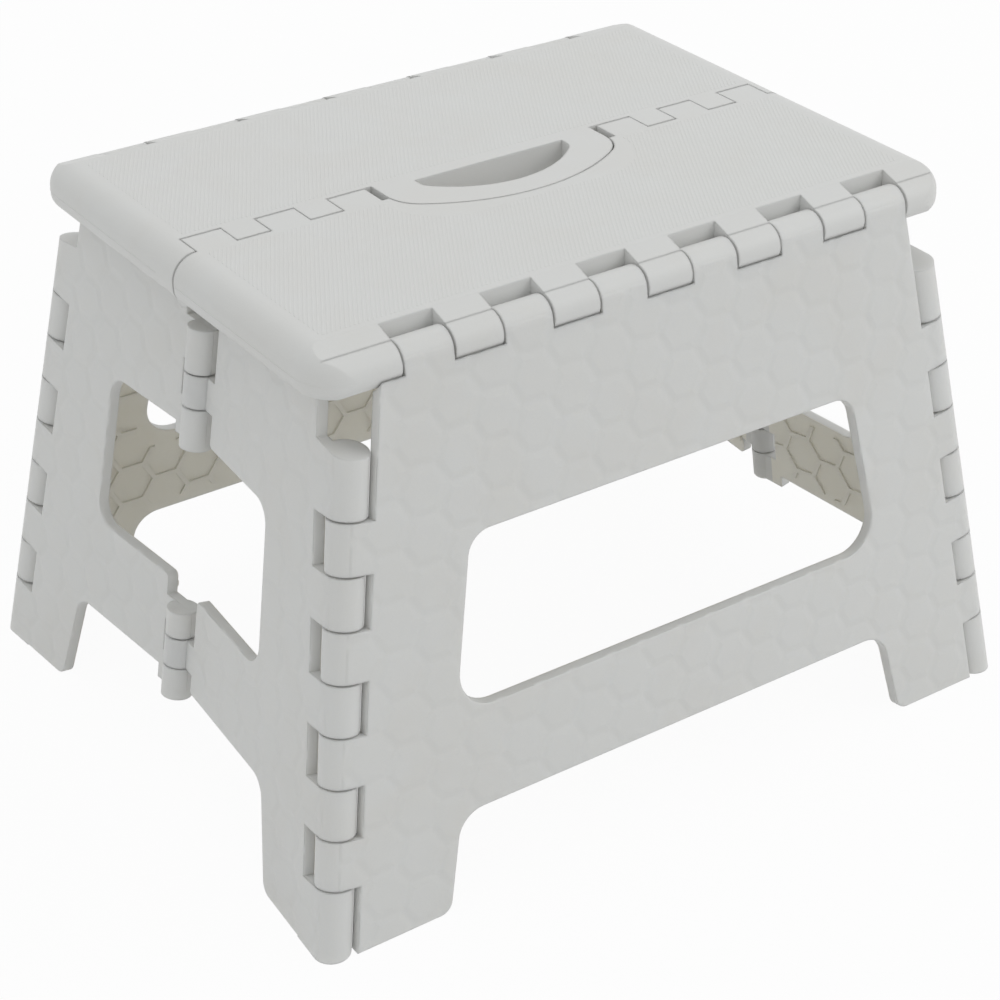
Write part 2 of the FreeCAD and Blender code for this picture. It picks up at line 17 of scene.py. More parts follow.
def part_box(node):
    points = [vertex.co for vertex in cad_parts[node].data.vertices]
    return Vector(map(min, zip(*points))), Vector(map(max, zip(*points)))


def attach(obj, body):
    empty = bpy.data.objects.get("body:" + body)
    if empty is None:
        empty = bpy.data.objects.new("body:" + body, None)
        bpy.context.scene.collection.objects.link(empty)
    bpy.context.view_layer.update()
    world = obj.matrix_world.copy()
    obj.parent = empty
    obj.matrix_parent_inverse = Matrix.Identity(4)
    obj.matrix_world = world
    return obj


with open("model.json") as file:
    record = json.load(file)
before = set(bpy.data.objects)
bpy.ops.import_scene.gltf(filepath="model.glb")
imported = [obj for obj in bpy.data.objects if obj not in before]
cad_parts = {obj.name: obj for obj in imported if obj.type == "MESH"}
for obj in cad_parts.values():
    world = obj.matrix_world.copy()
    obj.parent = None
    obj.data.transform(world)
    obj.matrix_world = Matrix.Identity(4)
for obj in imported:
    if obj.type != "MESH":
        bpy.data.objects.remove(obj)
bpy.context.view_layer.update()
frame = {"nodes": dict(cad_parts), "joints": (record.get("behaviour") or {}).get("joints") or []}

bl_info = {
    "name": "Folding Step Stool",
    "version": (1, 0, 0),
    "blender": (4, 5, 0),
    "location": "View3D > Sidebar > Stool",
    "description": "Finishes and fine relief of a folding step stool, with its studio",
    "category": "Object",
}

JOINTS = {joint["name"]: joint for joint in frame["joints"]}

# Tread halves, with the side of the seam on which they lie, and panels, with their hinges
TREADS = {"front_top": -1, "rear_top": 1}
LEGS = {"front_leg": "front_leg_fold", "rear_leg": "rear_leg_fold"}
ENDS = {"left_front_end": "left_front_corner_fold", "left_rear_end": "left_rear_corner_fold",
        "right_front_end": "right_front_corner_fold", "right_rear_end": "right_rear_corner_fold"}
HINGES = {**LEGS, **ENDS}
PINS = [name for name in frame["nodes"] if name.endswith("_pin")]

# Fields of stiffening cells in the frames of the panels, in mm: the long panels measure from the
# tread hinge, the end halves from the foot of their corner hinge.
LEG_FIELDS = [
    [(-115.8, -13.0), (115.8, -13.0), (123.8, -64.3), (-123.8, -64.3)],
    [(92.0, -64.3), (123.8, -64.3), (136.1, -143.4), (106.1, -143.4)],
    [(-92.0, -64.3), (-123.8, -64.3), (-136.1, -143.4), (-106.1, -143.4)],
    [(-136.1, -143.4), (136.1, -143.4), (141.4, -174.6), (-141.4, -174.6)],
    [(106.6, -174.6), (141.4, -174.6), (147.1, -210.5), (114.7, -210.5)],
    [(-106.6, -174.6), (-141.4, -174.6), (-147.1, -210.5), (-114.7, -210.5)],
]
END_FIELDS = [
    [(14.5, 158.0), (14.5, 196.3), (90.5, 206.8), (95.2, 169.1)],
    [(14.5, 10.0), (14.5, 158.0), (43.5, 162.0), (39.2, 13.5)],
    [(43.5, 53.7), (43.5, 87.8), (104.5, 96.2), (109.0, 62.7)],
]
MIRRORED_END_FIELDS = [[(-x, y) for x, y in field] for field in END_FIELDS]
MM_PER_M = 1000

# Nets that the cells are cut from: lowest points in the same frames, pairs of columns and rows
LEG_NET_LOW = -0.215
END_NET_LOW = 0.0
NET_PAIRS = 10
NET_ROWS = 13
NET_MERGE = 0.00001  # the three distances within which vertices are merged
FIELD_MERGE = 0.00002
SLIVER_MERGE = 0.000002
CELL_ROOT = 0.0002  # depth to which the ribs are sunk into the panel
CELL_SOFT = 0.3  # bevel of a rib, as a share of its width

# Limits of the inner faces with the paler painted-light colour, in the same frames, in m. They
# leave out the hinge barrels.
LEG_LIT_INSIDE = {"Slope": 0.16, "Reach": 0.1172, "Near": 0.0, "Top": -0.0095}
END_LIT_INSIDE = {"Slope": 0.1379, "Reach": 0.1215, "Near": 0.0095, "Top": 1.0}
LIT_INSIDE_DEPTH = 0.0003  # how far the painted-light inner colour reaches into the panel
SINK_START, SINK_FULL = 0.0005, 0.0001  # depths below the outer face that bound the sink marks
EDGE_RADIUS = 0.0012  # radius by which shading rounds the edges

# Tread ribs and parting beads
RIB_BLANK = 0.16  # length of a rib before it is trimmed
RIB_TOP = 0.45  # width of a rib's top, as a share of its foot
HANDLE_BLANK = 0.02  # height of the block that clears the handle's field
BEAD_INSET = 0.0001  # how far the bead's middle lies inside the rim
BEAD_SOFT = 0.6  # bevel of a bead, as a share of its stand
BEAD_TURN = 0.9  # share of the rim's corner radius that the bead follows

# Looking for faces, edges and vertices
MIDDLE = Vector((0, 0, 0.1))  # a point inside the stool
WIDE_FACES = 40  # how many of the largest faces are searched for a panel's outer face
UPWARD = 0.9  # least upward part of the normal of a top face
TOUCH = 1e-5  # tolerance in position

# Studio: lamps as name, place, size and power
FLOOR_SIZE = 12
FLOOR_WHITE = 0.95  # how much of the floor the camera sees as plain white
LAMPS = (("key_softbox", (1.3, -1.0, 1.4), 1.4, 6.5), ("top_softbox", (0.2, 0.5, 2.0), 1.4, 2))
CAMERA_PLACE = Vector((-0.49288, -0.71819, 0.60022))
CAMERA_AIM = Vector((0.003598, 0.0, 0.072044))
CAMERA_LENS = 87.55
CAMERA_SENSOR = 36


class StoolFinish(PropertyGroup):
    """Colours and surface values of the mouldings, the pins and the studio."""
    plastic: FloatVectorProperty(
        name="Plastic", description="Colour of the moulded panels",
        subtype="COLOR", size=3, min=0, max=1, default=(0.738, 0.738, 0.727))
    plastic_deep: FloatVectorProperty(
        name="Plastic, Flow Marks", description="Warmer tint of the faint flow marks",
        subtype="COLOR", size=3, min=0, max=1, default=(0.73, 0.725, 0.708))
    # Painted light: the paler, warmer inside colours stand in for light that passes through the
    # thin walls and bounces inside
    plastic_lit_inner: FloatVectorProperty(
        name="Plastic, Inside", description="Paler, warmer colour of the inner faces",
        subtype="COLOR", size=3, min=0, max=1, default=(0.90, 0.875, 0.80))
    plastic_lit_inner_deep: FloatVectorProperty(
        name="Plastic, Inside, Flow Marks", description="Deeper tint of the inner faces",
        subtype="COLOR", size=3, min=0, max=1, default=(0.88, 0.85, 0.77))
    plastic_roughness: FloatProperty(
        name="Plastic Roughness", description="Middle roughness of the satin moulded skin",
        subtype="FACTOR", min=0, max=1, default=0.46)
    steel: FloatVectorProperty(
        name="Steel", description="Colour of the drawn wire pins",
        subtype="COLOR", size=3, min=0, max=1, default=(0.56, 0.56, 0.57))
    floor: FloatVectorProperty(
        name="Floor", description="Colour of the studio floor",
        subtype="COLOR", size=3, min=0, max=1, default=(0.86, 0.86, 0.86))


class StoolSizes(PropertyGroup):
    """Sizes of the relief that this script adds."""
    rib_pitch: FloatProperty(
        name="Rib Pitch", description="Spacing of the tread ribs, measured along the tread",
        subtype="DISTANCE", unit="LENGTH", default=0.0018)
    rib_width: FloatProperty(
        name="Rib Width", description="Width of one tread rib at its foot",
        subtype="DISTANCE", unit="LENGTH", default=0.0010)
    rib_height: FloatProperty(
        name="Rib Height", description="Height of the tread ribs",
        subtype="DISTANCE", unit="LENGTH", default=0.0001)
    rib_angle: FloatProperty(
        name="Rib Angle", description="Direction of the tread ribs from the long side",
        subtype="ANGLE", unit="ROTATION", default=math.radians(60))
    rib_rows: IntProperty(
        name="Rib Rows", description="Ribs laid across a tread half before it is trimmed",
        min=1, default=180)
    end_margin: FloatProperty(
        name="End Margin", description="Smooth border at the short ends of the tread",
        subtype="DISTANCE", unit="LENGTH", default=0.013)
    front_margin: FloatProperty(
        name="Front Margin", description="Smooth border behind the tread hinge axis",
        subtype="DISTANCE", unit="LENGTH", default=0.0115)
    seam_margin: FloatProperty(
        name="Seam Margin", description="Smooth border beside the middle seam",
        subtype="DISTANCE", unit="LENGTH", default=0.0095)
    handle_half: FloatProperty(
        name="Handle Half Width", description="Half width of the smooth field round the handle",
        subtype="DISTANCE", unit="LENGTH", default=0.056)
    handle_reach: FloatProperty(
        name="Handle Reach", description="Reach of the smooth field in front of the seam",
        subtype="DISTANCE", unit="LENGTH", default=0.0355)
    handle_corner: FloatProperty(
        name="Handle Corner", description="Corner radius of the smooth field round the handle",
        subtype="DISTANCE", unit="LENGTH", default=0.026)
    cell_pitch: FloatProperty(
        name="Cell Pitch", description="Spacing of the stiffening cells behind the panels",
        subtype="DISTANCE", unit="LENGTH", default=0.0189)
    cell_rib: FloatProperty(
        name="Cell Rib", description="Thickness of the ribs between the stiffening cells",
        subtype="DISTANCE", unit="LENGTH", default=0.0022)
    cell_height: FloatProperty(
        name="Cell Height", description="How far the cell ribs stand off the panel's inner face",
        subtype="DISTANCE", unit="LENGTH", default=0.0009)
    panel_thick: FloatProperty(
        name="Panel Thickness", description="Thickness of the panels that carry the cells",
        subtype="DISTANCE", unit="LENGTH", default=0.0046)
    bead_height: FloatProperty(
        name="Bead Height", description="Height of the parting bead on the tread's rim",
        subtype="DISTANCE", unit="LENGTH", default=0.0004)
    bead_stand: FloatProperty(
        name="Bead Stand", description="How far the parting bead stands off the rim",
        subtype="DISTANCE", unit="LENGTH", default=0.00015)
    bead_seam: FloatProperty(
        name="Bead Seam", description="Distance of the bead's ends from the middle seam",
        subtype="DISTANCE", unit="LENGTH", default=0.0075)
    bead_drop: FloatProperty(
        name="Bead Drop", description="How far the bead's foot lies below the tread hinge axis",
        subtype="DISTANCE", unit="LENGTH", default=0.0006)
    rim_corner: FloatProperty(
        name="Rim Corner", description="Corner radius of the tread's rim",
        subtype="DISTANCE", unit="LENGTH", default=0.016)


# Node helpers

def add_node(tree, kind, place, **values):
    """Add a node; keywords set its properties."""
    node = tree.nodes.new(kind)
    node.location = place
    for name, value in values.items():
        setattr(node, name, value)
    return node


def join(tree, source, target):
    tree.links.new(source, target)


def new_group(name, inputs, outputs):
    """Shader group with named sockets, and its input and output nodes."""
    tree = bpy.data.node_groups.new(name, "ShaderNodeTree")
    for label, kind, default in inputs:
        socket = tree.interface.new_socket(name=label, in_out="INPUT", socket_type=kind)
        if default is not None:
            socket.default_value = default
    for label, kind in outputs:
        tree.interface.new_socket(name=label, in_out="OUTPUT", socket_type=kind)
    start = add_node(tree, "NodeGroupInput", (-900, 0))
    end = add_node(tree, "NodeGroupOutput", (900, 0))
    return tree, start, end


def moulded_skin_group():
    """Spark-eroded mould grain: tint between two colours, roughness and height."""
    found = bpy.data.node_groups.get("moulded_skin")
    if found:
        return found
    tree, start, end = new_group(
        "moulded_skin",
        [("Vector", "NodeSocketVector", None), ("Tint", "NodeSocketColor", (0.65, 0.65, 0.64, 1)),
         ("Deep Tint", "NodeSocketColor", (0.62, 0.62, 0.59, 1)),
         ("Roughness", "NodeSocketFloat", 0.45), ("Grain", "NodeSocketFloat", 1.0)],
        [("Color", "NodeSocketColor"), ("Roughness", "NodeSocketFloat"),
         ("Height", "NodeSocketFloat")])
    flow = add_node(tree, "ShaderNodeTexNoise", (-640, 260))
    flow.inputs["Scale"].default_value = 26
    flow.inputs["Detail"].default_value = 3
    flow.inputs["Distortion"].default_value = 0.6
    haze = add_node(tree, "ShaderNodeMapRange", (-420, 260), interpolation_type="SMOOTHSTEP")
    haze.inputs["From Min"].default_value = 0.36
    haze.inputs["From Max"].default_value = 0.74
    blend = add_node(tree, "ShaderNodeMix", (-180, 300), data_type="RGBA")
    grain = add_node(tree, "ShaderNodeTexNoise", (-640, -60))
    grain.inputs["Scale"].default_value = 1500
    grain.inputs["Detail"].default_value = 2
    pits = add_node(tree, "ShaderNodeTexVoronoi", (-640, -340))
    pits.inputs["Scale"].default_value = 900
    smear = add_node(tree, "ShaderNodeTexNoise", (-640, -620))
    smear.inputs["Scale"].default_value = 70
    smear.inputs["Detail"].default_value = 4
    for texture in (flow, grain, pits, smear):
        join(tree, start.outputs["Vector"], texture.inputs["Vector"])
    join(tree, flow.outputs["Fac"], haze.inputs["Value"])
    join(tree, haze.outputs["Result"], blend.inputs["Factor"])
    join(tree, start.outputs["Tint"], blend.inputs["A"])
    join(tree, start.outputs["Deep Tint"], blend.inputs["B"])
    speck = add_node(tree, "ShaderNodeMapRange", (-180, 60))
    speck.inputs["To Min"].default_value = 0.985
    speck.inputs["To Max"].default_value = 1.015
    join(tree, grain.outputs["Fac"], speck.inputs["Value"])
    tinted = add_node(tree, "ShaderNodeMix", (120, 260), data_type="RGBA", blend_type="MULTIPLY")
    tinted.inputs["Factor"].default_value = 1
    join(tree, blend.outputs["Result"], tinted.inputs["A"])
    join(tree, speck.outputs["Result"], tinted.inputs["B"])
    join(tree, tinted.outputs["Result"], end.inputs["Color"])
    gloss = add_node(tree, "ShaderNodeMapRange", (-180, -620))
    gloss.inputs["To Min"].default_value = -0.07
    gloss.inputs["To Max"].default_value = 0.07
    join(tree, smear.outputs["Fac"], gloss.inputs["Value"])
    rough = add_node(tree, "ShaderNodeMath", (120, -480), operation="ADD", use_clamp=True)
    join(tree, start.outputs["Roughness"], rough.inputs[0])
    join(tree, gloss.outputs["Result"], rough.inputs[1])
    join(tree, rough.outputs["Value"], end.inputs["Roughness"])
    both = add_node(tree, "ShaderNodeMath", (-180, -220), operation="ADD")
    join(tree, grain.outputs["Fac"], both.inputs[0])
    join(tree, pits.outputs["Distance"], both.inputs[1])
    height = add_node(tree, "ShaderNodeMath", (120, -220), operation="MULTIPLY")
    join(tree, both.outputs["Value"], height.inputs[0])
    join(tree, start.outputs["Grain"], height.inputs[1])
    join(tree, height.outputs["Value"], end.inputs["Height"])
    return tree


def cell_marks_group():
    """Sink marks over a grid of six-sided cells in columns: 1 inside a cell, 0 over its ribs."""
    found = bpy.data.node_groups.get("cell_marks")
    if found:
        return found
    tree, start, end = new_group(
        "cell_marks",
        [("Vector", "NodeSocketVector", None), ("Pitch", "NodeSocketFloat", 0.02)],
        [("Height", "NodeSocketFloat")])
    unit = add_node(tree, "ShaderNodeVectorMath", (-700, 0), operation="SCALE")
    inverse = add_node(tree, "ShaderNodeMath", (-860, -160), operation="DIVIDE")
    inverse.inputs[0].default_value = 1
    join(tree, start.outputs["Pitch"], inverse.inputs[1])
    join(tree, start.outputs["Vector"], unit.inputs[0])
    join(tree, inverse.outputs["Value"], unit.inputs["Scale"])
    flat = add_node(tree, "ShaderNodeVectorMath", (-540, 0), operation="MULTIPLY")
    flat.inputs[1].default_value = (1, 1, 0)
    join(tree, unit.outputs["Vector"], flat.inputs[0])
    step = math.sqrt(3) / 2
    half = (step, 0.5, 0.5)
    centred = []
    for row, shift in enumerate(((step / 2, 0, 0), (step * 1.5, 0.5, 0))):
        moved = add_node(tree, "ShaderNodeVectorMath", (-360, 160 - 320 * row),
                         operation="SUBTRACT")
        moved.inputs[1].default_value = shift
        join(tree, flat.outputs["Vector"], moved.inputs[0])
        wrap = add_node(tree, "ShaderNodeVectorMath", (-180, 160 - 320 * row), operation="WRAP")
        wrap.inputs[1].default_value = half
        wrap.inputs[2].default_value = tuple(-size for size in half)
        join(tree, moved.outputs["Vector"], wrap.inputs[0])
        length = add_node(tree, "ShaderNodeVectorMath", (0, 60 - 320 * row), operation="LENGTH")
        join(tree, wrap.outputs["Vector"], length.inputs[0])
        centred.append((wrap, length))
    nearer = add_node(tree, "ShaderNodeMath", (160, 0), operation="LESS_THAN")
    join(tree, centred[1][1].outputs["Value"], nearer.inputs[0])
    join(tree, centred[0][1].outputs["Value"], nearer.inputs[1])
    chosen = add_node(tree, "ShaderNodeMix", (320, 0), data_type="VECTOR")
    join(tree, nearer.outputs["Value"], chosen.inputs["Factor"])
    join(tree, centred[0][0].outputs["Vector"], chosen.inputs[4])
    join(tree, centred[1][0].outputs["Vector"], chosen.inputs[5])
    folded = add_node(tree, "ShaderNodeVectorMath", (460, 0), operation="ABSOLUTE")
    join(tree, chosen.outputs[1], folded.inputs[0])
    slanted = add_node(tree, "ShaderNodeVectorMath", (460, -200), operation="DOT_PRODUCT")
    slanted.inputs[1].default_value = (step, 0.5, 0)
    join(tree, folded.outputs["Vector"], slanted.inputs[0])
    across = add_node(tree, "ShaderNodeSeparateXYZ", (600, 60))
    join(tree, folded.outputs["Vector"], across.inputs["Vector"])
    reach = add_node(tree, "ShaderNodeMath", (600, -160), operation="MAXIMUM")
    join(tree, across.outputs["Y"], reach.inputs[0])
    join(tree, slanted.outputs["Value"], reach.inputs[1])
    fall = add_node(tree, "ShaderNodeMapRange", (740, -60), interpolation_type="SMOOTHSTEP")
    fall.inputs["From Min"].default_value = 0.5
    fall.inputs["From Max"].default_value = 0.32
    join(tree, reach.outputs["Value"], fall.inputs["Value"])
    join(tree, fall.outputs["Result"], end.inputs["Height"])
    return tree


def lit_inner_face_group():
    """Mask of a panel's inner face for the painted-light colour, clear of its hinge barrels: 1 on
    the face, 0 elsewhere.
    """
    found = bpy.data.node_groups.get("lit_inner_face")
    if found:
        return found
    tree, start, end = new_group(
        "lit_inner_face",
        [("Vector", "NodeSocketVector", None), ("Depth", "NodeSocketFloat", 0.0026),
         ("Slope", "NodeSocketFloat", 0.16), ("Reach", "NodeSocketFloat", 0.117),
         ("Near", "NodeSocketFloat", 0.0), ("Top", "NodeSocketFloat", 1.0)],
        [("Mask", "NodeSocketFloat")])
    place = add_node(tree, "ShaderNodeSeparateXYZ", (-700, 0))
    join(tree, start.outputs["Vector"], place.inputs["Vector"])
    across = add_node(tree, "ShaderNodeMath", (-500, 200), operation="ABSOLUTE")
    join(tree, place.outputs["X"], across.inputs[0])
    flare = add_node(tree, "ShaderNodeMath", (-300, 200), operation="MULTIPLY_ADD")
    join(tree, place.outputs["Y"], flare.inputs[0])
    join(tree, start.outputs["Slope"], flare.inputs[1])
    join(tree, across.outputs["Value"], flare.inputs[2])
    limits = []
    for row, (value, limit, way) in enumerate((
            (flare.outputs["Value"], "Reach", "LESS_THAN"),
            (across.outputs["Value"], "Near", "GREATER_THAN"),
            (place.outputs["Y"], "Top", "LESS_THAN"), (place.outputs["Z"], "Depth", "LESS_THAN"))):
        test = add_node(tree, "ShaderNodeMath", (-60, 300 - 180 * row), operation=way)
        join(tree, value, test.inputs[0])
        join(tree, start.outputs[limit], test.inputs[1])
        limits.append(test)
    mask = limits[0]
    for row, test in enumerate(limits[1:]):
        both = add_node(tree, "ShaderNodeMath", (180 + 180 * row, 0), operation="MULTIPLY")
        join(tree, mask.outputs["Value"], both.inputs[0])
        join(tree, test.outputs["Value"], both.inputs[1])
        mask = both
    join(tree, mask.outputs["Value"], end.inputs["Mask"])
    return tree


def drawn_wire_group():
    """Drawing scratches along a wire: tint, roughness and height."""
    found = bpy.data.node_groups.get("drawn_wire")
    if found:
        return found
    tree, start, end = new_group(
        "drawn_wire",
        [("Vector", "NodeSocketVector", None), ("Tint", "NodeSocketColor", (0.55, 0.55, 0.56, 1))],
        [("Color", "NodeSocketColor"), ("Roughness", "NodeSocketFloat"),
         ("Height", "NodeSocketFloat")])
    streak = add_node(tree, "ShaderNodeTexNoise", (-520, 120))
    streak.inputs["Scale"].default_value = 2600
    streak.inputs["Detail"].default_value = 3
    stain = add_node(tree, "ShaderNodeTexNoise", (-520, -160))
    stain.inputs["Scale"].default_value = 120
    stain.inputs["Detail"].default_value = 5
    for texture in (streak, stain):
        join(tree, start.outputs["Vector"], texture.inputs["Vector"])
    shade = add_node(tree, "ShaderNodeMapRange", (-220, 120))
    shade.inputs["To Min"].default_value = 0.82
    shade.inputs["To Max"].default_value = 1.08
    join(tree, stain.outputs["Fac"], shade.inputs["Value"])
    tint = add_node(tree, "ShaderNodeMix", (120, 160), data_type="RGBA", blend_type="MULTIPLY")
    tint.inputs["Factor"].default_value = 1
    join(tree, start.outputs["Tint"], tint.inputs["A"])
    join(tree, shade.outputs["Result"], tint.inputs["B"])
    join(tree, tint.outputs["Result"], end.inputs["Color"])
    rough = add_node(tree, "ShaderNodeMapRange", (120, -80))
    rough.inputs["To Min"].default_value = 0.22
    rough.inputs["To Max"].default_value = 0.44
    join(tree, streak.outputs["Fac"], rough.inputs["Value"])
    join(tree, rough.outputs["Result"], end.inputs["Roughness"])
    join(tree, streak.outputs["Fac"], end.inputs["Height"])
    return tree


def place_group(tree, group, place):
    node = add_node(tree, "ShaderNodeGroup", place)
    node.node_tree = group
    return node


# Materials

def place_skin(tree, place, inner, grain, where):
    """Moulded skin in the colours of the outer faces, or in the paler inner colours, which are
    painted light.
    """
    finish = bpy.context.scene.stool_finish
    tint, deep = finish.plastic, finish.plastic_deep
    # Painted light: the inner colours are paler and warmer to stand in for light through the thin
    # walls
    if inner:
        tint, deep = finish.plastic_lit_inner, finish.plastic_lit_inner_deep
    skin = place_group(tree, moulded_skin_group(), place)
    skin.inputs["Tint"].default_value = (*tint, 1)
    skin.inputs["Deep Tint"].default_value = (*deep, 1)
    skin.inputs["Roughness"].default_value = finish.plastic_roughness
    skin.inputs["Grain"].default_value = grain
    join(tree, where.outputs["Object"], skin.inputs["Vector"])
    return skin


# inner=True gives the paler painted-light colours of the inner faces
def plastic_material(name, grain, glow, soft=True, inner=False):
    """Satin moulded skin that can let light through, its bump node and its coordinate node."""
    material = bpy.data.materials.new(name)
    material.use_nodes = True
    tree = material.node_tree
    shader = tree.nodes["Principled BSDF"]
    shader.inputs["IOR"].default_value = 1.49
    shader.inputs["Specular IOR Level"].default_value = 0.42
    shader.inputs["Subsurface Weight"].default_value = glow
    shader.inputs["Subsurface Radius"].default_value = (1.0, 0.97, 0.9)
    shader.inputs["Subsurface Scale"].default_value = 0.006
    where = add_node(tree, "ShaderNodeTexCoord", (-1300, 0))
    skin = place_skin(tree, (-700, 100), inner, grain, where)
    join(tree, skin.outputs["Color"], shader.inputs["Base Color"])
    join(tree, skin.outputs["Roughness"], shader.inputs["Roughness"])
    bump = add_node(tree, "ShaderNodeBump", (-260, -300))
    bump.inputs["Strength"].default_value = 0.5
    bump.inputs["Distance"].default_value = 0.00003
    join(tree, skin.outputs["Height"], bump.inputs["Height"])
    if soft:
        soft_edges = add_node(tree, "ShaderNodeBevel", (-500, -420), samples=4)
        soft_edges.inputs["Radius"].default_value = EDGE_RADIUS
        join(tree, soft_edges.outputs["Normal"], bump.inputs["Normal"])
    join(tree, bump.outputs["Normal"], shader.inputs["Normal"])
    return material, bump, where


def panel_material(name, inside, centre, right, up, outwards, face):
    """Moulded skin in a panel's own frame, with sink marks outside and a paler inner face of
    painted light.
    """
    sizes = bpy.context.scene.stool_sizes
    material, bump, where = plastic_material(name, grain=1.0, glow=0.3)
    tree = material.node_tree
    turn = Matrix((right, up, outwards)).transposed().to_euler()
    frame_map = add_node(tree, "ShaderNodeMapping", (-1080, -620), vector_type="TEXTURE")
    frame_map.inputs["Location"].default_value = centre
    frame_map.inputs["Rotation"].default_value = turn
    join(tree, where.outputs["Object"], frame_map.inputs["Vector"])
    marks = place_group(tree, cell_marks_group(), (-860, -620))
    marks.inputs["Pitch"].default_value = sizes.cell_pitch
    join(tree, frame_map.outputs["Vector"], marks.inputs["Vector"])
    depth = add_node(tree, "ShaderNodeSeparateXYZ", (-860, -820))
    join(tree, frame_map.outputs["Vector"], depth.inputs["Vector"])
    outer = add_node(tree, "ShaderNodeMapRange", (-660, -820), interpolation_type="SMOOTHSTEP")
    outer.inputs["From Min"].default_value = face - SINK_START
    outer.inputs["From Max"].default_value = face - SINK_FULL
    join(tree, depth.outputs["Z"], outer.inputs["Value"])
    masked = add_node(tree, "ShaderNodeMath", (-460, -700), operation="MULTIPLY")
    join(tree, marks.outputs["Height"], masked.inputs[0])
    join(tree, outer.outputs["Result"], masked.inputs[1])
    shader = tree.nodes["Principled BSDF"]
    # Painted light: the inner faces get the paler, warmer colour that stands in for light through
    # the thin walls
    within = place_group(tree, lit_inner_face_group(), (-660, -1060))
    within.inputs["Depth"].default_value = face - sizes.panel_thick + LIT_INSIDE_DEPTH
    for label, value in inside.items():
        within.inputs[label].default_value = value
    join(tree, frame_map.outputs["Vector"], within.inputs["Vector"])
    lit_inside_skin = place_skin(tree, (-700, 420), inner=True, grain=1.0, where=where)
    two_faces = add_node(tree, "ShaderNodeMix", (-260, 300), data_type="RGBA")
    join(tree, within.outputs["Mask"], two_faces.inputs["Factor"])
    join(tree, shader.inputs["Base Color"].links[0].from_socket, two_faces.inputs["A"])
    join(tree, lit_inside_skin.outputs["Color"], two_faces.inputs["B"])
    join(tree, two_faces.outputs["Result"], shader.inputs["Base Color"])
    sink = add_node(tree, "ShaderNodeBump", (-60, -500))
    sink.inputs["Strength"].default_value = 0.7
    sink.inputs["Distance"].default_value = 0.0005
    join(tree, masked.outputs["Value"], sink.inputs["Height"])
    join(tree, bump.outputs["Normal"], sink.inputs["Normal"])
    join(tree, sink.outputs["Normal"], shader.inputs["Normal"])
    return material


def pin_material():
    """Bright drawn steel wire."""
    finish = bpy.context.scene.stool_finish
    material = bpy.data.materials.new("pin_steel")
    material.use_nodes = True
    tree = material.node_tree
    shader = tree.nodes["Principled BSDF"]
    shader.inputs["Metallic"].default_value = 1
    where = add_node(tree, "ShaderNodeTexCoord", (-900, 0))
    wire = place_group(tree, drawn_wire_group(), (-500, 0))
    wire.inputs["Tint"].default_value = (*finish.steel, 1)
    join(tree, where.outputs["Object"], wire.inputs["Vector"])
    join(tree, wire.outputs["Color"], shader.inputs["Base Color"])
    join(tree, wire.outputs["Roughness"], shader.inputs["Roughness"])
    bump = add_node(tree, "ShaderNodeBump", (-220, -240))
    bump.inputs["Strength"].default_value = 0.3
    bump.inputs["Distance"].default_value = 0.00002
    join(tree, wire.outputs["Height"], bump.inputs["Height"])
    join(tree, bump.outputs["Normal"], shader.inputs["Normal"])
    return material


def dress(thing, material):
    """Make the material the only one on an object."""
    thing.data.materials.clear()
    thing.data.materials.append(material)


def named_material(name, maker):
    return bpy.data.materials.get(name) or maker()


def tread_material():
    return named_material("tread_skin", lambda: plastic_material(
        "tread_skin", grain=0.8, glow=0.0)[0])


def relief_material():
    return named_material("relief_skin", lambda: plastic_material(
        "relief_skin", grain=0.8, glow=0.0, soft=False)[0])


# Painted light: the cell ribs take the paler inside colours, which stand in for light through the
# thin walls
def cell_material():
    return named_material("cell_lit_skin", lambda: plastic_material(
        "cell_lit_skin", grain=1.0, glow=0.0, soft=False, inner=True)[0])


def seen_rays(tree, place):
    """Socket that gives 1 to rays from the camera or a gloss and 0 to all other light."""
    path = add_node(tree, "ShaderNodeLightPath", place)
    seen = add_node(tree, "ShaderNodeMath", (place[0] + 200, place[1]), operation="MAXIMUM")
    join(tree, path.outputs["Is Camera Ray"], seen.inputs[0])
    join(tree, path.outputs["Is Glossy Ray"], seen.inputs[1])
    return seen.outputs["Value"]


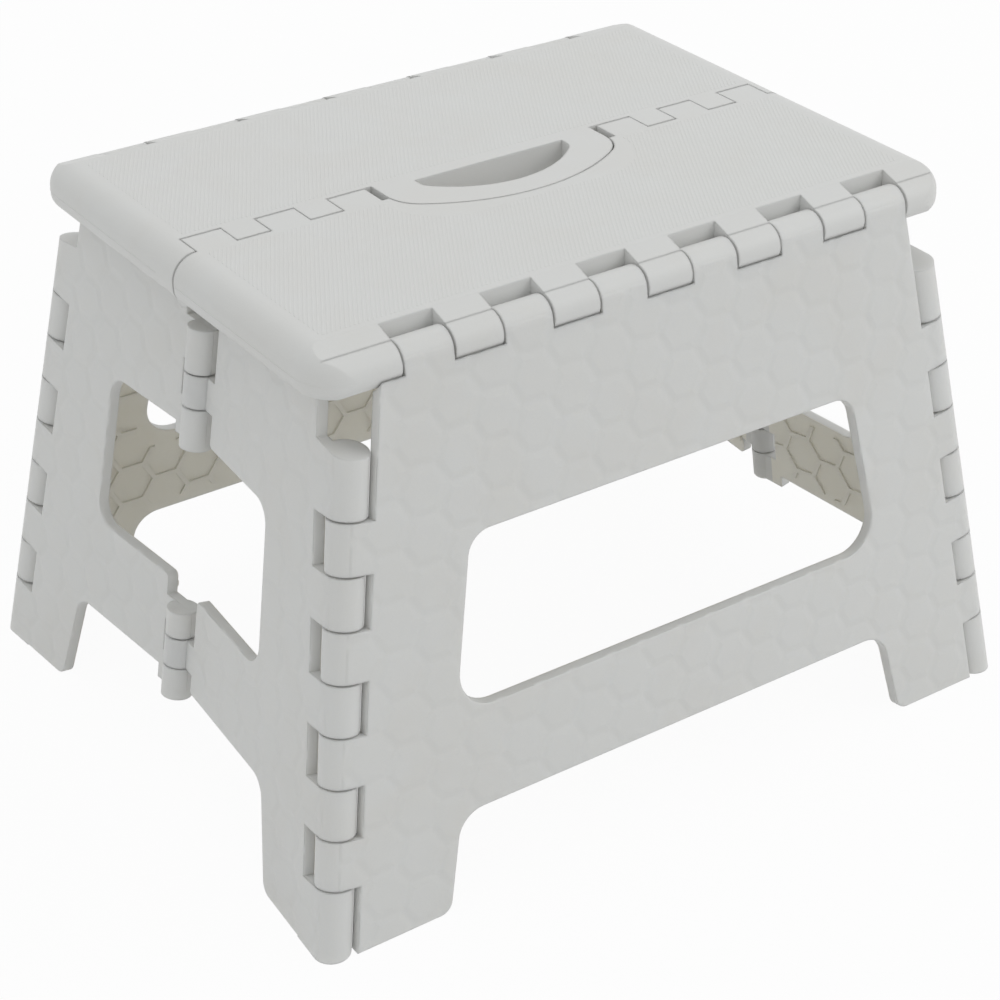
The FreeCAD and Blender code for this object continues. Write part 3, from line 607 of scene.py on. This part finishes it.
def paper_material():
    """Matt studio paper that looks nearly plain white to the camera."""
    finish = bpy.context.scene.stool_finish
    material = bpy.data.materials.new("studio_paper")
    material.use_nodes = True
    tree = material.node_tree
    shader = tree.nodes["Principled BSDF"]
    where = add_node(tree, "ShaderNodeTexCoord", (-900, 0))
    pulp = add_node(tree, "ShaderNodeTexNoise", (-700, 0))
    pulp.inputs["Scale"].default_value = 8
    shade = add_node(tree, "ShaderNodeMapRange", (-500, 0))
    shade.inputs["To Min"].default_value = 0.985
    shade.inputs["To Max"].default_value = 1.0
    tint = add_node(tree, "ShaderNodeMix", (-260, 0), data_type="RGBA", blend_type="MULTIPLY")
    tint.inputs["Factor"].default_value = 1
    tint.inputs["A"].default_value = (*finish.floor, 1)
    join(tree, where.outputs["Object"], pulp.inputs["Vector"])
    join(tree, pulp.outputs["Fac"], shade.inputs["Value"])
    join(tree, shade.outputs["Result"], tint.inputs["B"])
    join(tree, tint.outputs["Result"], shader.inputs["Base Color"])
    shader.inputs["Roughness"].default_value = 0.9
    shader.inputs["Specular IOR Level"].default_value = 0.1
    white = add_node(tree, "ShaderNodeEmission", (0, -300))
    white.inputs["Color"].default_value = (1, 1, 1, 1)
    white.inputs["Strength"].default_value = 1
    share = add_node(tree, "ShaderNodeMath", (100, 400), operation="MULTIPLY")
    share.inputs[1].default_value = FLOOR_WHITE
    join(tree, seen_rays(tree, (-300, 400)), share.inputs[0])
    mix = add_node(tree, "ShaderNodeMixShader", (300, 0))
    join(tree, share.outputs["Value"], mix.inputs["Fac"])
    join(tree, shader.outputs["BSDF"], mix.inputs[1])
    join(tree, white.outputs["Emission"], mix.inputs[2])
    join(tree, mix.outputs["Shader"], tree.nodes["Material Output"].inputs["Surface"])
    return material


def studio_world():
    """Soft light from all round that looks plain white to the camera."""
    world = bpy.data.worlds.new("studio_white")
    world.use_nodes = True
    tree = world.node_tree
    back = tree.nodes["Background"]
    back.inputs["Color"].default_value = (0.985, 1.0, 0.997, 1)
    back.inputs["Strength"].default_value = 0.68
    white = add_node(tree, "ShaderNodeBackground", (0, -200))
    white.inputs["Color"].default_value = (1, 1, 1, 1)
    white.inputs["Strength"].default_value = 1
    mix = add_node(tree, "ShaderNodeMixShader", (200, 100))
    join(tree, seen_rays(tree, (-300, 300)), mix.inputs["Fac"])
    join(tree, back.outputs["Background"], mix.inputs[1])
    join(tree, white.outputs["Background"], mix.inputs[2])
    join(tree, mix.outputs["Shader"], tree.nodes["World Output"].inputs["Surface"])
    return world


# Modelling helpers

def fresh(name):
    """Name the active object, apply its transform and take it into edit mode."""
    thing = bpy.context.object
    thing.name = name
    thing.data.name = name
    bpy.ops.object.transform_apply(location=True, rotation=True, scale=True)
    bpy.ops.object.mode_set(mode="EDIT")
    return thing


def pick(thing, kind, wanted):
    """Select the faces, edges or vertices of the object in edit mode that pass a test."""
    work = bmesh.from_edit_mesh(thing.data)
    bpy.ops.mesh.select_all(action="DESELECT")
    bpy.ops.mesh.select_mode(type=kind.upper())
    items = {"face": work.faces, "edge": work.edges, "vert": work.verts}[kind]
    count = 0
    for item in items:
        if wanted(item):
            item.select_set(True)
            count += 1
    work.select_flush_mode()
    bmesh.update_edit_mesh(thing.data)
    if not count:
        raise RuntimeError(f"nothing to select on {thing.name}")


def activate(thing):
    """Make an object the active one and the only one selected."""
    bpy.ops.object.select_all(action="DESELECT")
    bpy.context.view_layer.objects.active = thing
    thing.select_set(True)


def aim_at(thing, target):
    """Turn a lamp or a camera towards a point."""
    thing.rotation_euler = (target - thing.location).to_track_quat("-Z", "Y").to_euler()


def add_array(thing, name, offset, count):
    """Array modifier with a fixed offset."""
    row = thing.modifiers.new(name, "ARRAY")
    row.count = count
    row.use_relative_offset = False
    row.use_constant_offset = True
    row.constant_offset_displace = offset
    return row


def apply_all(thing):
    for modifier in list(thing.modifiers):
        bpy.ops.object.modifier_apply(modifier=modifier.name)


def trim(point, normal):
    """Cut the mesh in edit mode by a plane, drop the normal's side and close the cut."""
    bpy.ops.mesh.select_all(action="SELECT")
    bpy.ops.mesh.bisect(plane_co=point, plane_no=normal, use_fill=True, clear_outer=True)


def panel_frame(name):
    """Frame of a panel (centre on its hinge, right, up, outwards) and its outer face's reach."""
    node = frame["nodes"][name]
    hinge = JOINTS[HINGES[name]]
    centre = Vector(hinge["pos_m"])
    faces = sorted(node.data.polygons, key=lambda face: face.area, reverse=True)
    wide = next(face for face in faces[:WIDE_FACES] if face.normal.dot(face.center - MIDDLE) > 0)
    outwards = wide.normal.copy()
    if name in ENDS:
        up = Vector(hinge["axis"]).normalized()
        up = up if up.z > 0 else -up
        centre -= up * (centre.z / up.z)
    else:
        up = (Vector((0, 0, 1)) - outwards * outwards.z).normalized()
    outwards = (outwards - up * outwards.dot(up)).normalized()
    return centre, up.cross(outwards), up, outwards, (wide.center - centre).dot(outwards)


def cell_net(sizes, low):
    """Flat net of six-sided ribs in columns, which starts below a height of a panel's frame."""
    pitch = sizes.cell_pitch
    step = pitch * math.sqrt(3) / 2
    bpy.ops.object.select_all(action="DESELECT")
    start = ((0.5 - NET_PAIRS) * step, math.floor(low / pitch) * pitch - pitch / 2, 0)
    bpy.ops.mesh.primitive_circle_add(vertices=6, radius=pitch / math.sqrt(3), fill_type="NGON",
                                      location=start, rotation=(0, 0, math.radians(30)))
    net = fresh("cell_net")
    bpy.ops.mesh.select_all(action="SELECT")
    bpy.ops.mesh.inset(thickness=sizes.cell_rib / 2, depth=0)
    bpy.ops.mesh.delete(type="FACE")
    bpy.ops.object.mode_set(mode="OBJECT")
    for label, offset, count in (("pair", (step, pitch / 2, 0), 2),
                                 ("columns", (2 * step, 0, 0), NET_PAIRS),
                                 ("rows", (0, pitch, 0), NET_ROWS)):
        row = add_array(net, label, offset, count)
        row.use_merge_vertices = True
        row.merge_threshold = NET_MERGE
    apply_all(net)
    return net


def cell_ribs(name, sizes, fields, low):
    """Ribs of the net inside convex fields, with the foot on the plane and the top inwards."""
    net = cell_net(sizes, low)
    parts = []
    for field in fields:
        corners = [Vector((x, y, 0)) / MM_PER_M for x, y in field]
        middle = sum(corners, Vector()) / len(corners)
        activate(net)
        bpy.ops.object.duplicate()
        part = bpy.context.object
        bpy.ops.object.mode_set(mode="EDIT")
        for first, second in zip(corners, corners[1:] + corners[:1]):
            side = second - first
            normal = Vector((side.y, -side.x, 0)).normalized()
            normal = normal if normal.dot(first - middle) > 0 else -normal
            bpy.ops.mesh.select_all(action="SELECT")
            bpy.ops.mesh.bisect(plane_co=first, plane_no=normal, use_fill=False, clear_outer=True)
        bpy.ops.object.mode_set(mode="OBJECT")
        parts.append(part)
    bpy.data.objects.remove(net)
    bpy.ops.object.select_all(action="DESELECT")
    for part in parts:
        part.select_set(True)
    bpy.context.view_layer.objects.active = parts[0]
    bpy.ops.object.join()
    ribs = fresh(name)
    bpy.ops.mesh.select_all(action="SELECT")
    bpy.ops.mesh.remove_doubles(threshold=FIELD_MERGE)
    bpy.ops.mesh.extrude_region_move(
        TRANSFORM_OT_translate={"value": (0, 0, -sizes.cell_height - CELL_ROOT)})
    bpy.ops.mesh.select_all(action="SELECT")
    bpy.ops.mesh.normals_make_consistent(inside=False)
    bpy.ops.object.mode_set(mode="OBJECT")
    soft = ribs.modifiers.new("soft", "BEVEL")
    soft.width = sizes.cell_rib * CELL_SOFT
    soft.segments = 2
    soft.limit_method = "ANGLE"
    apply_all(ribs)
    bpy.ops.object.mode_set(mode="EDIT")
    bpy.ops.mesh.select_all(action="SELECT")
    bpy.ops.mesh.remove_doubles(threshold=SLIVER_MERGE)
    bpy.ops.mesh.delete_loose()
    bpy.ops.object.mode_set(mode="OBJECT")
    bpy.ops.object.shade_smooth_by_angle(angle=math.radians(50))
    return ribs


def handle_blank(sizes, side, top):
    """Upright block with the outline of the smooth field round the handle."""
    bpy.ops.object.select_all(action="DESELECT")
    bpy.ops.mesh.primitive_cube_add(size=1, location=(0, side * sizes.handle_reach / 2, top))
    bpy.context.object.scale = (2 * sizes.handle_half, sizes.handle_reach, HANDLE_BLANK)
    blank = fresh("handle_blank")
    front = side * sizes.handle_reach

    def front_corner(edge):
        low, high = (vertex.co for vertex in edge.verts)
        upright = abs(low.z - high.z) > HANDLE_BLANK / 2
        return upright and abs(low.y - front) < TOUCH
    pick(blank, "edge", front_corner)
    bpy.ops.mesh.bevel(offset=sizes.handle_corner, segments=10, profile=0.5)
    bpy.ops.object.mode_set(mode="OBJECT")
    return blank


class STOOL_OT_mouldings(Operator):
    """Give the tread halves, long panels and end halves their moulded skins"""
    bl_idname = "stool.mouldings"
    bl_label = "Moulded Skins"

    def execute(self, context):
        for name in TREADS:
            dress(frame["nodes"][name], tread_material())
        for names, inside in ((LEGS, LEG_LIT_INSIDE), (ENDS, END_LIT_INSIDE)):
            for name in names:
                skin = panel_material(f"{name}_skin", inside, *panel_frame(name))
                dress(frame["nodes"][name], skin)
        return {"FINISHED"}


class STOOL_OT_pins(Operator):
    """Give the hinge pins their drawn steel finish"""
    bl_idname = "stool.pins"
    bl_label = "Hinge Pins"

    def execute(self, context):
        steel = named_material("pin_steel", pin_material)
        for name in PINS:
            dress(frame["nodes"][name], steel)
        return {"FINISHED"}


class STOOL_OT_stiffening_cells(Operator):
    """Model the six-sided stiffening cells on the inner faces of the panels"""
    bl_idname = "stool.stiffening_cells"
    bl_label = "Stiffening Cells"

    def execute(self, context):
        sizes = context.scene.stool_sizes
        for nodes, fields, low in (
                (("front_leg", "rear_leg"), LEG_FIELDS, LEG_NET_LOW),
                (("left_rear_end", "right_front_end"), END_FIELDS, END_NET_LOW),
                (("left_front_end", "right_rear_end"), MIRRORED_END_FIELDS, END_NET_LOW)):
            first = cell_ribs(f"{nodes[0]}_cells", sizes, fields, low)
            second = first.copy()
            second.data = first.data.copy()
            second.name = second.data.name = f"{nodes[1]}_cells"
            context.collection.objects.link(second)
            for ribs, name in zip((first, second), nodes):
                centre, right, up, outwards, face = panel_frame(name)
                turn = Matrix((right, up, outwards)).transposed().to_4x4()
                lift = Matrix.Translation((0, 0, face - sizes.panel_thick + CELL_ROOT))
                ribs.matrix_world = Matrix.Translation(centre) @ turn @ lift
                activate(ribs)
                bpy.ops.object.transform_apply(location=True, rotation=True, scale=True)
                dress(ribs, cell_material())
                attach(ribs, name)
        return {"FINISHED"}


class STOOL_OT_tread_ribs(Operator):
    """Model the fine slanted ribs on both tread halves"""
    bl_idname = "stool.tread_ribs"
    bl_label = "Tread Ribs"

    def execute(self, context):
        sizes = context.scene.stool_sizes
        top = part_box("front_top")[1].z
        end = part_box("front_top")[1].x - sizes.end_margin
        axis = abs(JOINTS["front_leg_fold"]["pos_m"][1])
        for name, side in TREADS.items():
            bpy.ops.object.select_all(action="DESELECT")
            bpy.ops.mesh.primitive_cube_add(size=1, location=(0, 0, 0))
            context.object.scale = (RIB_BLANK, sizes.rib_width, sizes.rib_height * 2)
            ribs = fresh(f"{name}_ribs")
            pick(ribs, "face", lambda face: face.normal.z > UPWARD)
            bpy.ops.transform.resize(value=(1, RIB_TOP, 1))
            bpy.ops.object.mode_set(mode="OBJECT")
            middle = Vector((0, side * axis / 2, top + sizes.rib_height / 2))
            spread = sizes.rib_pitch * (sizes.rib_rows - 1)
            start = middle - Vector((spread / 2, 0, sizes.rib_height / 2))
            turn = Matrix.Rotation(sizes.rib_angle, 4, "Z")
            ribs.matrix_world = Matrix.Translation(start) @ turn
            bpy.ops.object.transform_apply(location=True, rotation=True, scale=True)
            add_array(ribs, "row", (sizes.rib_pitch, 0, 0), sizes.rib_rows)
            apply_all(ribs)
            bpy.ops.object.mode_set(mode="EDIT")
            for point, normal in (((end, 0, 0), (1, 0, 0)), ((-end, 0, 0), (-1, 0, 0)),
                                  ((0, side * (axis - sizes.front_margin), 0), (0, side, 0)),
                                  ((0, side * sizes.seam_margin, 0), (0, -side, 0))):
                trim(point, normal)
            bpy.ops.object.mode_set(mode="OBJECT")
            if side < 0:
                blank = handle_blank(sizes, side, top)
                activate(ribs)
                clear = ribs.modifiers.new("clear", "BOOLEAN")
                clear.object = blank
                clear.operation = "DIFFERENCE"
                clear.solver = "EXACT"
                apply_all(ribs)
                bpy.data.objects.remove(blank)
            bpy.ops.object.shade_flat()
            dress(ribs, relief_material())
            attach(ribs, name)
        return {"FINISHED"}


class STOOL_OT_parting_beads(Operator):
    """Model the fine parting bead on the ends and corners of both tread halves"""
    bl_idname = "stool.parting_beads"
    bl_label = "Parting Beads"

    def execute(self, context):
        sizes = context.scene.stool_sizes
        for name, side in TREADS.items():
            low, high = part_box(name)
            front = max(abs(low.y), abs(high.y)) - BEAD_INSET
            seam = sizes.bead_seam
            level = JOINTS["front_leg_fold"]["pos_m"][2] - sizes.bead_drop
            bpy.ops.object.select_all(action="DESELECT")
            bpy.ops.mesh.primitive_plane_add(size=1, location=(0, side * (front + seam) / 2, level))
            context.object.scale = (high.x - low.x, front - seam, 1)
            bead = fresh(f"{name}_bead")
            pick(bead, "vert", lambda vertex: abs(vertex.co.y - side * front) < TOUCH)
            bpy.ops.mesh.bevel(offset=sizes.rim_corner, segments=12, affect="VERTICES")
            bpy.ops.mesh.select_all(action="SELECT")
            bpy.ops.mesh.delete(type="ONLY_FACE")
            keep = high.x - sizes.rim_corner * BEAD_TURN

            def loose(edge):
                middle = (edge.verts[0].co + edge.verts[1].co) / 2
                return abs(middle.x) < keep
            pick(bead, "edge", loose)
            bpy.ops.mesh.delete(type="EDGE")
            bpy.ops.mesh.select_all(action="SELECT")
            bpy.ops.mesh.extrude_edges_move(
                TRANSFORM_OT_translate={"value": (0, 0, sizes.bead_height)})
            bpy.ops.mesh.select_all(action="SELECT")
            bpy.ops.mesh.normals_make_consistent(inside=False)
            bpy.ops.object.mode_set(mode="OBJECT")
            wall = bead.modifiers.new("wall", "SOLIDIFY")
            wall.thickness = 2 * sizes.bead_stand
            wall.offset = 0
            soft = bead.modifiers.new("soft", "BEVEL")
            soft.width = sizes.bead_stand * BEAD_SOFT
            soft.segments = 2
            apply_all(bead)
            bpy.ops.object.shade_smooth_by_angle(angle=math.radians(40))
            dress(bead, relief_material())
            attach(bead, name)
        return {"FINISHED"}


class STOOL_OT_stage(Operator):
    """Set up the studio floor, the lamps, the world and the camera"""
    bl_idname = "stool.stage"
    bl_label = "Studio and Camera"

    def execute(self, context):
        scene = context.scene
        bpy.ops.object.select_all(action="DESELECT")
        bpy.ops.mesh.primitive_plane_add(size=FLOOR_SIZE, location=(0, 0, 0))
        floor = fresh("studio_floor")
        bpy.ops.mesh.select_all(action="SELECT")
        bpy.ops.mesh.subdivide(number_cuts=3)
        bpy.ops.object.mode_set(mode="OBJECT")
        dress(floor, paper_material())

        for name, place, size, power in LAMPS:
            bpy.ops.object.light_add(type="AREA", location=place)
            lamp = context.object
            lamp.name = name
            lamp.data.shape = "DISK"
            lamp.data.size = size
            lamp.data.energy = power
            aim_at(lamp, MIDDLE)

        scene.world = studio_world()

        bpy.ops.object.camera_add(location=CAMERA_PLACE)
        camera = context.object
        camera.name = "photo_camera"
        aim_at(camera, CAMERA_AIM)
        camera.data.sensor_width = CAMERA_SENSOR
        camera.data.lens = CAMERA_LENS
        scene.camera = camera
        scene.view_settings.view_transform = "Standard"
        return {"FINISHED"}


class STOOL_PT_sidebar(Panel):
    """Lists the steps that dress the stool"""
    bl_idname = "STOOL_PT_sidebar"
    bl_label = "Folding Step Stool"
    bl_space_type = "VIEW_3D"
    bl_region_type = "UI"
    bl_category = "Stool"

    def draw(self, context):
        layout = self.layout
        for step in STEPS:
            layout.operator(step.bl_idname)
        for holder in (context.scene.stool_finish, context.scene.stool_sizes):
            column = layout.column()
            for name in holder.__annotations__:
                column.prop(holder, name)


STEPS = (STOOL_OT_mouldings, STOOL_OT_pins, STOOL_OT_stiffening_cells, STOOL_OT_tread_ribs,
         STOOL_OT_parting_beads, STOOL_OT_stage)
CLASSES = (StoolFinish, StoolSizes, *STEPS, STOOL_PT_sidebar)


def register():
    for item in CLASSES:
        bpy.utils.register_class(item)
    bpy.types.Scene.stool_finish = PointerProperty(type=StoolFinish)
    bpy.types.Scene.stool_sizes = PointerProperty(type=StoolSizes)


def unregister():
    del bpy.types.Scene.stool_sizes
    del bpy.types.Scene.stool_finish
    for item in reversed(CLASSES):
        bpy.utils.unregister_class(item)


def main():
    register()
    bpy.ops.stool.mouldings()
    bpy.ops.stool.pins()
    bpy.ops.stool.stiffening_cells()
    bpy.ops.stool.tread_ribs()
    bpy.ops.stool.parting_beads()
    bpy.ops.stool.stage()


if __name__ == "__main__":
    main()
